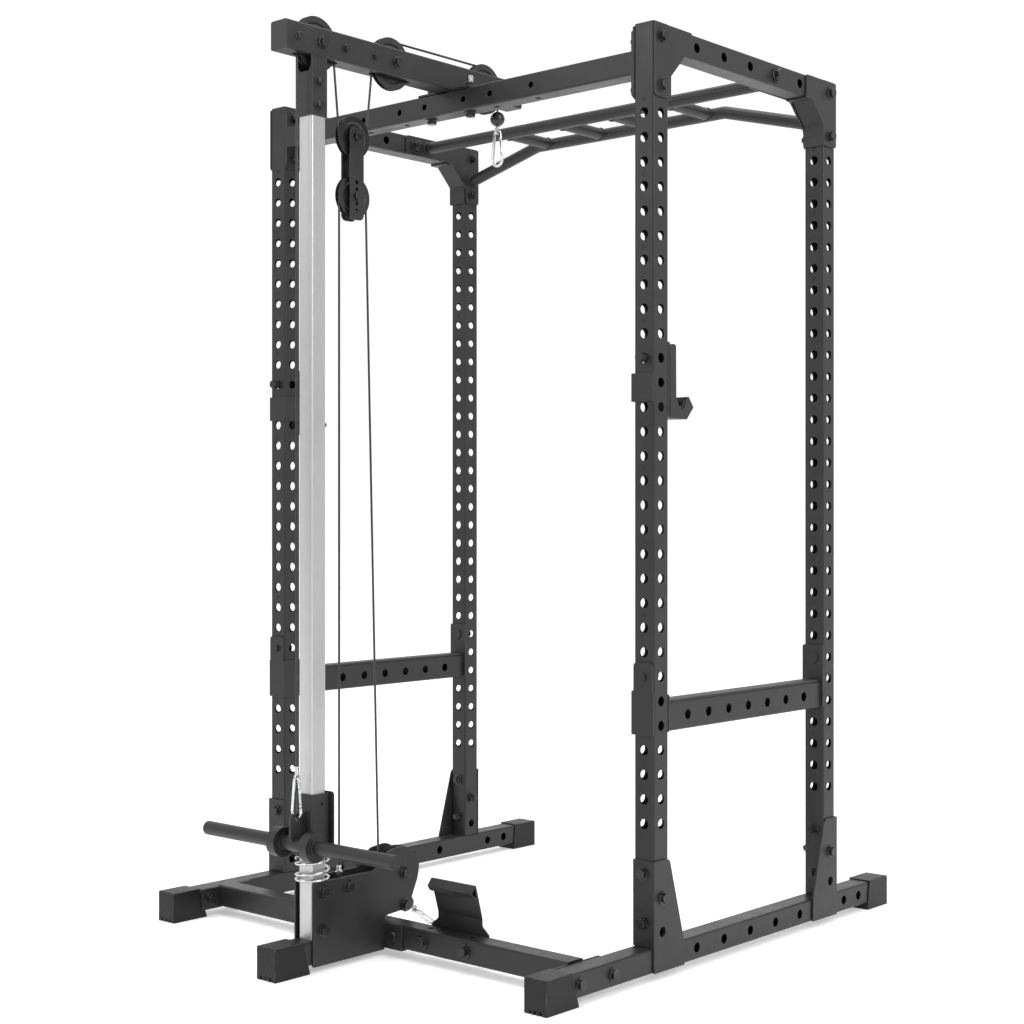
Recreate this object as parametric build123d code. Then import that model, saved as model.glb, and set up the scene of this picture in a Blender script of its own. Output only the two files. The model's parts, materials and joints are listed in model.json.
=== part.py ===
from build123d import *
import os
import math

os.makedirs("parts", exist_ok=True)

# ---- driving dimensions (mm) ----
Y0 = 140.5            # shift that puts the origin under the middle of the whole rack
UX, UY = 565.0, 325.0  # upright centres
T = 50.0              # square tube
W = 2.5               # tube wall
RC = 4.5              # tube outer corner radius
Z_RAIL0, Z_RAIL1 = 16.0, 66.0
Z_TOP = 1947.0
HOLE_R = 10.5
PITCH = 50.0
Z_HOLE_TOP = 1766.0
N_HOLES = 30
BOLT_R = 6.0
BOLT_HOLE_R = 6.3
PLATE = 4.0
BEAM_Z0, BEAM_Z1 = 1897.0, 1957.0
PUL_Z = 1927.0
PUL_Y = (-737.0, -520.0, -218.0)
PUL_R = 57.0
CAB_R = 2.5           # cable radius
PUL_C = 50.0          # cable centre radius on the large pulleys
LOW_Y, LOW_Z = -502.5, 167.0
BLK_Y, BLK_Z1, BLK_Z2 = -630.0, 1749.0, 1622.5
BLK_C = 38.6
MAST_Y = -744.0
HORN_Y, HORN_Z = -787.0, 266.0
JH_Z = 1266.0
SF_Z = 616.0


def P(axis, u, v, a):
    if axis == "x":
        return Vector(a, u, v)
    if axis == "y":
        return Vector(u, a, v)
    return Vector(u, v, a)


def rwire(axis, pts, a):
    n = len(pts)
    p = [(q[0], q[1], q[2] if len(q) > 2 else 0.0) for q in pts]
    ends = []
    for i in range(n):
        x, y, r = p[i]
        if r <= 0:
            ends.append(((x, y), None, (x, y)))
            continue
        ax, ay = p[i - 1][0] - x, p[i - 1][1] - y
        bx, by = p[(i + 1) % n][0] - x, p[(i + 1) % n][1] - y
        la, lb = math.hypot(ax, ay), math.hypot(bx, by)
        ax, ay, bx, by = ax / la, ay / la, bx / lb, by / lb
        ang = math.acos(max(-1, min(1, ax * bx + ay * by)))
        t = r / math.tan(ang / 2)
        mx, my = ax + bx, ay + by
        lm = math.hypot(mx, my)
        d = r / math.sin(ang / 2)
        cx, cy = x + mx / lm * d, y + my / lm * d
        s = (x + ax * t, y + ay * t)
        e = (x + bx * t, y + by * t)
        m = (cx - mx / lm * r, cy - my / lm * r)
        ends.append((s, m, e))
    edges = []
    for i in range(n):
        s, m, e = ends[i]
        if m is not None:
            edges.append(Edge.make_three_point_arc(P(axis, *s, a), P(axis, *m, a), P(axis, *e, a)))
        nx = ends[(i + 1) % n][0]
        if math.hypot(nx[0] - e[0], nx[1] - e[1]) > 1e-6:
            edges.append(Edge.make_line(P(axis, *e, a), P(axis, *nx, a)))
    return Wire(edges)


def prism(axis, pts, a0, a1):
    f = Face(rwire(axis, pts, a0))
    s = Solid.extrude(f, P(axis, 0, 0, a1 - a0))
    return s


def rect(axis, u0, u1, v0, v1, a0, a1, r=0.0):
    return prism(axis, [(u0, v0, r), (u1, v0, r), (u1, v1, r), (u0, v1, r)], a0, a1)


def rtube(axis, u0, u1, v0, v1, a0, a1, w=W, r=RC):
    return rect(axis, u0, u1, v0, v1, a0, a1, r) - rect(axis, u0 + w, u1 - w, v0 + w, v1 - w, a0 - 1, a1 + 1, max(r - w, 0.5))


def box(x0, x1, y0, y1, z0, z1):
    return Pos((x0 + x1) / 2, (y0 + y1) / 2, (z0 + z1) / 2) * Box(abs(x1 - x0), abs(y1 - y0), abs(z1 - z0))


ROT = {"x": (0, 90, 0), "y": (90, 0, 0), "z": (0, 0, 0)}


def cyl(axis, u, v, r, a0, a1):
    c = P(axis, u, v, (a0 + a1) / 2)
    return Pos(c.X, c.Y, c.Z) * Rotation(*ROT[axis]) * Cylinder(r, abs(a1 - a0))


def ring(axis, u, v, ro, ri, a0, a1):
    return cyl(axis, u, v, ro, a0, a1) - cyl(axis, u, v, ri, min(a0, a1) - 1, max(a0, a1) + 1)


def hexp(axis, u, v, af, a0, a1):
    R = af / math.sqrt(3)
    return prism(axis, [(u + R * math.cos(math.radians(60 * k + 30)), v + R * math.sin(math.radians(60 * k + 30))) for k in range(6)], a0, a1)


def cuts(body, tools):
    return body.cut(*tools) if hasattr(body, "cut") else body - tools


def solids_of(s):
    if isinstance(s, (list, tuple)):
        out = []
        for q in s:
            out += solids_of(q)
        return out
    return list(s.solids())


NODES = {}


def put(name, *shapes):
    NODES.setdefault(name, [])
    for s in shapes:
        NODES[name] += solids_of(s)


def mx(s):
    return mirror(s, about=Plane.YZ)


def mys(s):
    return mirror(s, about=Plane.XZ)


BOLTS, NUTS = [], []


def bolt(axis, u, v, a_head, a_nut, r=BOLT_R, af=19.0, wr=14.5, tail=5.0, nut=True, wt=2.0):
    """head bears on a_head, nut on a_nut; the shank runs between them"""
    s = 1 if a_head > a_nut else -1
    b = cyl(axis, u, v, wr, a_head, a_head + s * wt) + hexp(axis, u, v, af, a_head + s * wt, a_head + s * (wt + r * 1.4))
    end = a_nut - s * (wt + r * 1.6 + tail)
    b = b + cyl(axis, u, v, r, a_head + s * wt, end)
    BOLTS.append(b)
    if nut:
        n = cyl(axis, u, v, wr, a_nut, a_nut - s * wt) + hexp(axis, u, v, af, a_nut - s * wt, a_nut - s * (wt + r * 1.6))
        NUTS.append(n - cyl(axis, u, v, r, a_nut + s, end - s))


# ---- uprights ----
hz = [Z_HOLE_TOP - PITCH * j for j in range(N_HOLES)]


def upright(sx, sy):
    x, y = sx * UX, sy * UY
    b = rtube("z", x - 25, x + 25, y - 25, y + 25, Z_RAIL1, Z_TOP)
    tools = [cyl("x", y, z, HOLE_R, x - 30, x + 30) for z in hz + [97.0]]
    tools += [cyl("y", x, z, HOLE_R, y - 30, y + 30) for z in hz]
    tools += [cyl("x", y, z, BOLT_HOLE_R, x - 30, x + 30) for z in (1922.0, 1822.0, 166.0)]
    tools += [cyl("y", x, z, BOLT_HOLE_R, y - 30, y + 30) for z in (216.0, 116.0)]
    return cuts(b, tools)


put("upright_rear_left", upright(-1, -1))
put("upright_rear_right", upright(1, -1))
put("upright_front_left", upright(-1, 1))
put("upright_front_right", upright(1, 1))
for sx in (-1, 1):
    for sy in (-1, 1):
        x, y = sx * UX, sy * UY
        c = rect("z", x - 24.8, x + 24.8, y - 24.8, y + 24.8, Z_TOP, Z_TOP + 2.5, 4.3) + rect("z", x - 22.4, x + 22.4, y - 22.4, y + 22.4, Z_TOP - 14, Z_TOP, 1.9)
        put("tube_caps", c)

# ---- base rails and rubber feet ----
for sx in (-1, 1):
    x = sx * UX
    b = rtube("y", x - 25, x + 25, Z_RAIL0, Z_RAIL1, -685, 583)
    tools = [cyl("x", y, 41, HOLE_R, x - 30, x + 30) for y in (-200, -100, 0, 100, 200, 392, 458)]
    tools += [cyl("x", y, 41, BOLT_HOLE_R, x - 30, x + 30) for y in (-586, -483)]
    put("base_rails", cuts(b, tools))
    for (ye, yb, yt, yi) in ((-689.5, -592, -613, -685), (589, 497, 506, 583)):
        o = prism("x", [(ye, 0, 2), (ye, 69, 2.5), (yt, 69, 1), (yb, 0, 1)], x - 27.8, x + 27.8)
        s = 1 if ye > 0 else -1
        o = o - rect("y", x - 25, x + 25, 16, 66, yi, yi - s * 220, RC)
        if s < 0:
            o = o - box(sx * 534, sx * 540.2, -610, -560, 15.7, 70.5)
        for k in (-14, 0, 14):
            o = o - box(x + k - 3, x + k + 3, ye - 4, ye + 4, -1, 9)
        put("foot_caps", o)
TB = rtube("y", -25, 25, 16, 66, -867, -563.5)
put("tower_base_rail", TB)
o = prism("x", [(-870, 0, 2), (-870, 68, 2.5), (-792, 68, 1), (-775, 0, 1)], -28, 28) - rect("y", -25, 25, 16, 66, -867, -700, RC)
for k in (-14, 0, 14):
    o = o - box(k - 3, k + 3, -874, -866, -1, 9)
put("foot_caps", o)

# ---- foot brackets ----
for sx in (-1, 1):
    for sy in (-1, 1):
        pts = [(-354, 16, 3), (-354, 243, 4), (-301, 243, 14), (-251, 67, 6), (-249, 16, 3)]
        pts = [(-sy * u, v, r) for (u, v, r) in pts]
        x = sx * UX
        side = prism("x", pts, sx * 590, sx * 594)
        web = box(sx * 540, sx * 594, sy * 350, sy * 354, 66.5, 243)
        b = side + web
        tools = [cyl("x", sy * UY, 97, HOLE_R, x - 35, x + 35), cyl("x", sy * UY, 166, BOLT_HOLE_R, x - 35, x + 35)]
        tools += [cyl("y", x, z, BOLT_HOLE_R, sy * 340, sy * 360) for z in (216, 116)]
        put("foot_brackets", cuts(b, tools))
        for z in (216, 116):
            bolt("y", x, z, sy * 354, sy * 300)
        bolt("x", sy * UY, 166, sx * 594, sx * 540)
        for z in (1922, 1822):
            bolt("x", sy * UY, z, sx * 594, sx * (532 if sy < 0 else 536))

# ---- low cross member ----
b = rtube("x", -559.5, -509.5, 20, 70, -535, 535)
tools = [cyl("y", x, 45, 7.0, -565, -500) for x in (-260, -140, -60, 60, 140, 260)]
tools += [cyl("z", x, -534.5, 7.0, 15, 75) for x in (-260, -140, 140, 260)]
b = cuts(b, tools)
for sx in (-1, 1):
    pl = rect("x", -609.5, -459.5, 16.5, 66, sx * 535, sx * 540, 4)
    pl = cuts(pl, [cyl("x", y, 41, BOLT_HOLE_R, sx * 530, sx * 545) for y in (-586, -483)])
    b = b + pl
    for y in (-586, -483):
        bolt("x", y, 41, sx * 590, sx * 535)
put("low_cross_member", b)

# ---- top rails ----
for sx in (-1, 1):
    x = sx * UX
    b = rtube("y", x - 25, x + 25, 1897, 1947, -300, 300)
    tools = [cyl("x", y, 1922, HOLE_R, x - 30, x + 30) for y in (-200, -100, 0, 200)] + [cyl("x", 103, 1922, 8.3, x - 30, x + 30)]
    put("top_rails", cuts(b, tools))
    bolt("x", 103, 1922, sx * 590, sx * 536, r=8.0, af=24, wr=17.5, wt=3)

# ---- corner brackets ----
for sx in (-1, 1):
    for sy in (-1, 1):
        def f(pts):
            return [(-sy * q[0],) + tuple(q[1:]) for q in pts]
        plate = f([(-350, 1797, 8), (-350, 1947, 4), (-223, 1947, 4), (-221, 1893, 2), (-248.5, 1893, 8), (-297, 1843, 8), (-300, 1797, 8)])
        web = f([(-221, 1893), (-248.5, 1893), (-296, 1845), (-296, 1797), (-300, 1797), (-300, 1846.7), (-250.2, 1897), (-221, 1897)])
        b = prism("x", plate, sx * 590, sx * 594)
        if sy < 0:
            b = b + prism("x", plate, sx * 536, sx * 540)
            b = b + prism("x", web, sx * 536, sx * 594)
        else:
            b = b + prism("x", web, sx * 540.3, sx * 594)
        b = cuts(b, [cyl("x", sy * UY, z, BOLT_HOLE_R, sx * 530, sx * 600) for z in (1922, 1822)])
        put("corner_brackets", b)

# ---- top cross member ----
b = rtube("x", -350, -300, 1847, 1897, -532, 532)
tools = [cyl("y", x, 1872, 7.0, -355, -295) for x in (-260, -140, -60, 60, 140, 260)]
tools += [cyl("z", x, -325, 7.0, 1840, 1900) for x in (-260, -140, 140, 260)] + [cyl("z", x, -325, BOLT_HOLE_R, 1840, 1900) for x in (-60, 60)]
b = cuts(b, tools)
for sx in (-1, 1):
    pl = rect("x", -350, -300, 1803, 1939, sx * 532, sx * 536, 6)
    b = b + cuts(pl, [cyl("x", -325, z, BOLT_HOLE_R, sx * 530, sx * 540) for z in (1922, 1822)])
put("top_cross_member", b)

# ---- pull-up assembly ----
b = cyl("x", 150, 1922, 15, -538, 538)


def rod(points, radii, r):
    e = []
    prev = points[0]
    for i in range(1, len(points) - 1):
        p, q, w = Vector(*points[i - 1]), Vector(*points[i]), Vector(*points[i + 1])
        a = (p - q).normalized()
        c = (w - q).normalized()
        ang = math.acos(max(-1, min(1, a.dot(c))))
        t = radii[i - 1] / math.tan(ang / 2)
        s, f2 = q + a * t, q + c * t
        m = (a + c).normalized()
        mid = q + m * (radii[i - 1] / math.sin(ang / 2) - radii[i - 1])
        e.append(Edge.make_line(Vector(*prev) if not isinstance(prev, Vector) else prev, s))
        e.append(Edge.make_three_point_arc(s, mid, f2))
        prev = f2
    e.append(Edge.make_line(Vector(*prev) if not isinstance(prev, Vector) else prev, Vector(*points[-1])))
    w = Wire(e)
    st = Vector(*points[0])
    d = (Vector(*points[1]) - st).normalized()
    return Solid.sweep(Face(Wire.make_circle(r, Plane(origin=st, z_dir=d))), path=w)


bent = rod([(-573.5, 325, 1849), (-300, 325, 1922), (300, 325, 1922), (573.5, 325, 1849)], [50, 50], 15)
b = b + (bent & box(-538, 538, 300, 350, 1800, 1950))
for x in (-255, -78, 78, 255):
    b = b + cyl("y", x, 1922, 14.5, 150, 325)
for sx in (-1, 1):
    pl = prism("x", [(350, 1797, 8), (350, 1947, 4), (69, 1947, 8), (69, 1897, 8), (240, 1897, 30), (300, 1837, 20), (300, 1797, 8)], sx * 536, sx * 540)
    b = b + pl
b = cuts(b, [cyl("x", 103, 1922, 8.3, sx * 530, sx * 545) for sx in (-1, 1)])
b = cuts(b, [cyl("x", 325, z, BOLT_HOLE_R, sx * 530, sx * 545) for sx in (-1, 1) for z in (1922, 1822)])
put("pullup_bar", b)

# ---- lat beam with its mast head ----
b = rtube("y", -25, 25, BEAM_Z0, BEAM_Z1, -833, -113)
for sx in (-1, 1):
    e = rect("z", min(sx * 25, sx * 80), max(sx * 25, sx * 80), -350, -300, 1897, 1901, 1)
    b = b + e
hd = rtube("z", -22.5, 22.5, MAST_Y - 22.5, MAST_Y + 22.5, 1773, 1897, 2.2, 3)
hd = hd - prism("y", [(-19, 1900), (-19, 1874), (-13, 1865), (13, 1865), (19, 1874), (19, 1900)], MAST_Y - 30, MAST_Y + 30)
b = b + hd
tools = []
for y in PUL_Y:
    tools.append(rect("z", -9, 9, y - 56, y + 56, 1950, 1960, 8))
    tools.append(rect("z", -9, 9, y - 60, y + 60, 1890, 1902, 8))
    tools.append(cyl("x", y, PUL_Z, BOLT_R + 0.05, -30, 30))
for y in (-803, -671, -586):
    tools.append(cyl("x", y, PUL_Z, 4.2, -30, 30))
tools += [cyl("z", x, -325, BOLT_HOLE_R, 1890, 1905) for x in (-60, 60)]
tools += [cyl("x", MAST_Y, z, BOLT_HOLE_R, -30, 30) for z in (1846, 1795)]
put("lat_beam", cuts(b, tools))
for y0, s in ((-833, -1), (-113, 1)):
    put("tube_caps", rect("y", -24.8, 24.8, BEAM_Z0 + .2, BEAM_Z1 - .2, y0, y0 + 2.5 * s, 4.3) + rect("y", -22.4, 22.4, BEAM_Z0 + 2.6, BEAM_Z1 - 2.6, y0, y0 - 14 * s, 1.9))

# ---- mast ----
b = rtube("z", -20, 20, MAST_Y - 20, MAST_Y + 20, 66, 1862, 2.0, 4.5)
put("mast_tube", cuts(b, [cyl("x", MAST_Y, z, BOLT_HOLE_R, -30, 30) for z in (1846, 1795)] + [cyl("x", -740.6, z, BOLT_HOLE_R, -30, 30) for z in (165, 84)]))
for z in (1846, 1795):
    bolt("x", MAST_Y, z, 22.5, -22.5, wr=10, af=17, tail=2)

# ---- tower plates ----
nose = [(-768, 12, 4), (-768.5, 186, 10), (-590, 186, 20), (-553, 222, 26), (-505, 227, 40), (-452, 200, 42), (-462, 150, 30), (-482, 107, 8), (-492, 86, 8), (-520, 87, 12), (-562, 84, 2), (-559.8, 70.6, 0), (-563.6, 70.6, 0), (-563.6, 12, 0)]
for sx in (-1, 1):
    pl = prism("x", nose, sx * 25, sx * 29)
    tools = [cyl("x", y, z, BOLT_HOLE_R, -40, 40) for (y, z) in ((-740.6, 165), (-740.6, 84), (-668.6, 165), (-500, 97))]
    tools += [cyl("x", LOW_Y, LOW_Z, BOLT_R + 0.05, -40, 40)]
    put("tower_plates", cuts(pl, tools))
for (y, z) in ((-740.6, 165), (-740.6, 84), (-668.6, 165), (-500, 97)):
    bolt("x", y, z, 29, -29)
for (y, z) in ((-740.6, 165), (-740.6, 84)):
    for sx in (-1, 1):
        put("pulley_spacers", ring("x", y, z, 12, 6.3, sx * 20, sx * 25))
put("pulley_spacers", ring("x", -500, 97, 8, 6.3, -25, 25))
b = box(-81, 81, -563.5, -559.5, 16, 70) + box(-81, 81, -563.5, -510, 16, 20)
put("tower_bracket", cuts(b, [cyl("y", x, 45, BOLT_HOLE_R, -570, -550) for x in (-60, 60)]))
for x in (-60, 60):
    bolt("y", x, 45, -563.5, -509.5)
for x in (-260, -140, 140, 260):
    bolt("y", x, 45, -559.5, -505.5, wr=16, wt=2.5)
for x in (-60, 60):
    bolt("z", x, -325, 1847, 1901, tail=15)

# ---- foot plates of the low row ----
for sx in (-1, 1):
    lo = prism("y", [(sx * 118, 20, 3), (sx * 118, 72, 4), (sx * 137.5, 88, 6), (sx * 137.5, 104), (sx * 262.5, 104), (sx * 262.5, 88, 6), (sx * 282, 72, 4), (sx * 282, 20, 3)], -509.5, -505.5)
    sl = prism("x", [(-509.5, 102), (-505.5, 103), (-526, 176), (-531.5, 176), (-543, 161), (-534.5, 150), (-527, 147.8), (-526, 151.7), (-533, 153.8), (-537.8, 161), (-530.2, 171)], sx * 137.5, sx * 262.5)
    b = lo + sl
    put("foot_plates", cuts(b, [cyl("y", sx * q, 45, BOLT_HOLE_R, -515, -500) for q in (140, 260)]))

# ---- buffer spring ----
hel = Wire(Edge.make_helix(pitch=15.8, height=44.0, radius=34.0, center=(0, MAST_Y, 188.9), normal=(0, 0, 1)))
p0 = hel.position_at(0)
sp = Solid.sweep(Face(Wire.make_circle(2.5, Plane(origin=p0, z_dir=hel.tangent_at(0)))), path=hel)
put("buffer_spring", sp)

# ---- pulleys: rim, web and hub in one revolved profile ----


def pulley(y, z, R, rc, hub=11.0, rim=5.5, hub_r=17.0):
    g = rc - CAB_R - 0.3
    pts = [(6.05, -hub), (hub_r, -hub), (hub_r, -3.5), (g - 6, -3.5), (g - 3, -rim), (R, -rim), (R, -4.9), (g + 2.6, -3.0), (g, -1.6), (g, 1.6), (g + 2.6, 3.0), (R, 4.9), (R, rim), (g - 3, rim), (g - 6, 3.5), (hub_r, 3.5), (hub_r, hub), (6.05, hub)]
    w = Wire.make_polygon([Vector(a, y + r, z) for (r, a) in pts], close=True)
    return Solid.revolve(Face(w), 360, Axis((0, y, z), (1, 0, 0)))


put("top_pulley_rear", pulley(PUL_Y[0], PUL_Z, PUL_R, PUL_C))
put("top_pulley_middle", pulley(PUL_Y[1], PUL_Z, PUL_R, PUL_C))
put("top_pulley_front", pulley(PUL_Y[2], PUL_Z, PUL_R, PUL_C))
put("low_pulley", pulley(LOW_Y, LOW_Z, PUL_R, PUL_C))
put("block_pulley_upper", pulley(BLK_Y, BLK_Z1, 45.0, BLK_C, hub=10.5, hub_r=14))
put("block_pulley_lower", pulley(BLK_Y, BLK_Z2, 45.0, BLK_C, hub=10.5, hub_r=14))


def axle(y, z, h, wr=13):
    b = cyl("x", y, z, BOLT_R, -h, h)
    for s in (-1, 1):
        b = b + cyl("x", y, z, wr, s * h, s * (h + 2.5)) + hexp("x", y, z, 20, s * (h + 2.5), s * (h + 10.5))
    return b


for y in PUL_Y:
    put("pulley_axles", axle(y, PUL_Z, 25))
    for s in (-1, 1):
        put("pulley_spacers", ring("x", y, PUL_Z, 9.5, 6.3, s * 11.3, s * 22.5))
put("pulley_axles", axle(LOW_Y, LOW_Z, 29))
for s in (-1, 1):
    put("pulley_spacers", ring("x", LOW_Y, LOW_Z, 9.5, 6.3, s * 11.3, s * 25))
for y in (-803, -671, -586):
    bolt("x", y, PUL_Z, 25, -25, r=4.0, af=13, wr=8, tail=2, wt=1.5)

# ---- floating block ----
for s in (-1, 1):
    pl = prism("x", [(-650, 1572.5, 12), (-650, 1768.5, 14), (-610, 1768.5, 14), (-610, 1572.5, 12)], s * 11, s * 14)
    tools = [cyl("x", BLK_Y, z, BOLT_R + 0.05, -20, 20) for z in (BLK_Z1, BLK_Z2)] + [cyl("x", BLK_Y, z, 4.6, -20, 20) for z in (1652.5, 1637.5, 1607.5, 1592.5)]
    put("block_plates", cuts(pl, tools))
for z in (BLK_Z1, BLK_Z2):
    b = cyl("x", BLK_Y, z, BOLT_R, -14, 14)
    for s in (-1, 1):
        b = b + hexp("x", BLK_Y, z, 16, s * 14, s * 21)
    put("block_bolts", b)

# ---- carriage ----
b = rtube("z", -25, 25, -769, -719, 236, 367, 2.5, RC)
b = b + rect("y", -36, 36, 243, 370, -719, -715, 8)
b = b + prism("x", [(-769, 276, 0), (-806, 276, 6), (-806, 330, 10), (-769, 330, 0)], -3, 3)
tools = [cyl("x", -741, 346, 4.0, 20, 30), cyl("x", -787, 319, 6.0, -5, 5)]
put("carriage_sleeve", cuts(b, tools))
for z0, z1 in ((238, 262), (341, 365)):
    put("carriage_bushes", rect("z", -22.4, 22.4, MAST_Y - 22.4, MAST_Y + 22.4, z0, z1, 1.9) - rect("z", -20.3, 20.3, MAST_Y - 20.3, MAST_Y + 20.3, z0 - 1, z1 + 1, 4.6))
b = cyl("x", HORN_Y, HORN_Z, 15, -288, 288) + box(-20, 20, -790, -769, 254, 275.8)
for s in (-1, 1):
    b = b + cyl("x", HORN_Y, HORN_Z, 31, s * 38, s * 62)
b = b - box(-80, 80, -769, -700, 200, 320)
b = b - box(-3.05, 3.05, -806.5, -769, 275.9, 331)
put("weight_horn", b)


def carabiner(xc, y, zc, w, L, r, gap=20.0):
    """closed loop in the XZ plane with the gate on +X; zc is its middle"""
    h = w / 2 - r
    s = L / 2 - r - h
    V = Vector
    e = [Edge.make_line(V(xc + h, y, zc - gap), V(xc + h, y, zc - s)),
         Edge.make_three_point_arc(V(xc + h, y, zc - s), V(xc, y, zc - s - h), V(xc - h, y, zc - s)),
         Edge.make_line(V(xc - h, y, zc - s), V(xc - h, y, zc + s)),
         Edge.make_three_point_arc(V(xc - h, y, zc + s), V(xc, y, zc + s + h), V(xc + h, y, zc + s)),
         Edge.make_line(V(xc + h, y, zc + s), V(xc + h, y, zc + gap))]
    body = Solid.sweep(Face(Wire.make_circle(r, Plane(origin=V(xc + h, y, zc - gap), z_dir=V(0, 0, -1)))), path=Wire(e))
    gr = r - 0.6
    g = cyl("z", xc + h, y, gr, zc - gap + 3, zc + gap - 0.4) + Pos(xc + h, y, zc - gap + 3) * Sphere(gr)
    return body, g


def eye(y, zw, wr):
    """cable eye over a wire whose centre is at zw, with its crimp above"""
    zc = zw + 0.85
    t = Pos(0, y, zc) * Rotation(0, 90, 0) * Torus(6.5, 2.2)
    return t + cyl("z", 0, y, 4.5, zc + 6.2, zc + 24.5)


cb, cg = carabiner(0, -787, 361.4, 33, 87, 3.25)
put("carriage_carabiner", cb, eye(-787, 361.4 + 87 / 2 - 3.25, 3.25))
put("carriage_gate", cg)
Z_CRIMP = 361.4 + 43.5 - 3.25 + 0.85 + 24.5

# ---- lat end ----
LAT_Y = PUL_Y[2] + PUL_C
b = Pos(0, LAT_Y, 1867) * Sphere(17)
put("lat_ball_stop", b)
LZ = 1755 + 44.0
cb, cg = carabiner(0, LAT_Y, LZ, 36, 88, 3.5)
zw = LZ + 44 - 3.5
t = Pos(0, LAT_Y, zw - 0.85) * Rotation(0, 90, 0) * Torus(6.8, 2.2)
t = Pos(0, LAT_Y, zw + 0.4) * Rotation(0, 90, 0) * Torus(6.5, 2.2)
t = t + cyl("z", 0, LAT_Y, 4.5, zw + 6.4, 1852)
put("lat_carabiner", cb, t - Pos(0, LAT_Y, 1867) * Sphere(17))
put("lat_gate", cg)

# ---- low end: ball, eye and carabiner hang forwards and down ----
BY, BZ = -468.0, 93.0
put("low_ball_stop", Pos(0, BY, BZ) * Sphere(17))
ang = math.radians(-36.0)
cb, cg = carabiner(0, 0, -(17 + 12 + 40.5), 36, 81, 3.5, gap=18.0)
zt = -(17 + 12) - 3.5
tt = Pos(0, 0, zt + 0.4) * Rotation(0, 90, 0) * Torus(6.5, 2.2) + cyl("z", 0, 0, 4.5, zt + 6.4, -15)
tt = tt - Sphere(17)
M = Location((0, BY, BZ), (0, 0, 0)) * Location((0, 0, 0), (90 - 36, 0, 0))
put("low_carabiner", cb.moved(M), M * tt)
put("low_gate", M * cg)

# ---- cables in the plane x = 0 ----


def tang(c1, r1, s1, c2, r2, s2):
    """tangent run from circle 1 to circle 2; s = +1 turns clockwise, -1 anticlockwise (seen from +X)"""
    dy, dz = c2[0] - c1[0], c2[1] - c1[1]
    D = math.hypot(dy, dz)
    k = (s2 * r2 - s1 * r1) / D
    th = math.atan2(dz, dy) + math.asin(k)
    n = (-math.sin(th), math.cos(th))
    a = (c1[0] + s1 * r1 * n[0], c1[1] + s1 * r1 * n[1])
    b2 = (c2[0] + s2 * r2 * n[0], c2[1] + s2 * r2 * n[1])
    return a, b2, th


def chk(a, b2, th):
    ang2 = math.atan2(b2[1] - a[1], b2[0] - a[0])
    return abs((ang2 - th + math.pi) % (2 * math.pi) - math.pi)


def line_cable(a, b2):
    A, B = Vector(0, *a), Vector(0, *b2)
    return Solid.extrude(Face(Wire.make_circle(CAB_R, Plane(origin=A, z_dir=(B - A).normalized()))), B - A)


def path_cable(parts):
    """parts: ('l', a, b) and ('a', centre, r, phi0, phi1) in the YZ plane"""
    e = []
    for q in parts:
        if q[0] == "l":
            e.append(Edge.make_line(Vector(0, *q[1]), Vector(0, *q[2])))
        else:
            c, r, f0, f1 = q[1:]
            pt = [Vector(0, c[0] + r * math.cos(f), c[1] + r * math.sin(f)) for f in (f0, (f0 + f1) / 2, f1)]
            e.append(Edge.make_three_point_arc(*pt))
    w = Wire(e)
    s, d = w.position_at(0), w.tangent_at(0)
    L = w.length
    sol = Solid.sweep(Face(Wire.make_circle(CAB_R, Plane(origin=s, z_dir=d))), path=w)
    print("cable length %.1f volume ratio %.4f" % (L, sol.volume / (math.pi * CAB_R ** 2 * L)))
    return sol


CR, CM, CF = [(y, PUL_Z) for y in PUL_Y]
CB1, CB2 = (BLK_Y, BLK_Z1), (BLK_Y, BLK_Z2)
CL = (LOW_Y, LOW_Z)
a1, b1, t1 = tang(CR, PUL_C, 1, CB1, BLK_C, -1)
a2, b2, t2 = tang(CB1, BLK_C, -1, CM, PUL_C, 1)
a3, b3, t3 = tang(CB2, BLK_C, 1, CL, PUL_C, -1)
print("tangent errors", chk(a1, b1, t1), chk(a2, b2, t2), chk(a3, b3, t3))
print("TANGENTS", a1, b1, a2, b2, a3, b3)


def phi(c, p):
    return math.atan2(p[1] - c[1], p[0] - c[0])


y_c = PUL_Y[0] - PUL_C
put("lat_cable_carriage_run", line_cable((y_c, Z_CRIMP), (y_c, PUL_Z)))
put("cable_fixed_wraps", path_cable([("a", CR, PUL_C, math.pi, phi(CR, a1))]))
put("cable_fixed_wraps", path_cable([("a", CM, PUL_C, phi(CM, b2) % (2 * math.pi), math.pi / 2), ("l", (PUL_Y[1], PUL_Z + PUL_C), (PUL_Y[2], PUL_Z + PUL_C)), ("a", CF, PUL_C, math.pi / 2, 0.0)]))
put("lat_cable_block_runs", line_cable(a1, b1), line_cable(a2, b2))
put("block_cable_wraps", path_cable([("a", CB1, BLK_C, phi(CB1, b1) % (2 * math.pi), phi(CB1, a2) % (2 * math.pi) + (2 * math.pi if phi(CB1, a2) % (2 * math.pi) < math.pi else 0))]))
put("block_cable_wraps", path_cable([("a", CB2, BLK_C, math.pi, phi(CB2, a3))]))
put("lat_cable_front_run", line_cable((LAT_Y, PUL_Z), (LAT_Y, 1884.3)))
AN_Y = BLK_Y - BLK_C
put("low_cable_block_runs", line_cable((AN_Y, 205), (AN_Y, BLK_Z2)), line_cable(a3, b3))
f0 = phi(CL, b3) % (2 * math.pi)
e, _b, _t = tang(CL, PUL_C, -1, (BY, BZ), 0.0, 1)
f1 = phi(CL, e) % (2 * math.pi)
dl = math.hypot(BY - e[0], BZ - e[1])
u = ((BY - e[0]) / dl, (BZ - e[1]) / dl)
put("cable_fixed_wraps", path_cable([("a", CL, PUL_C, f0, f1)]))
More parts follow.
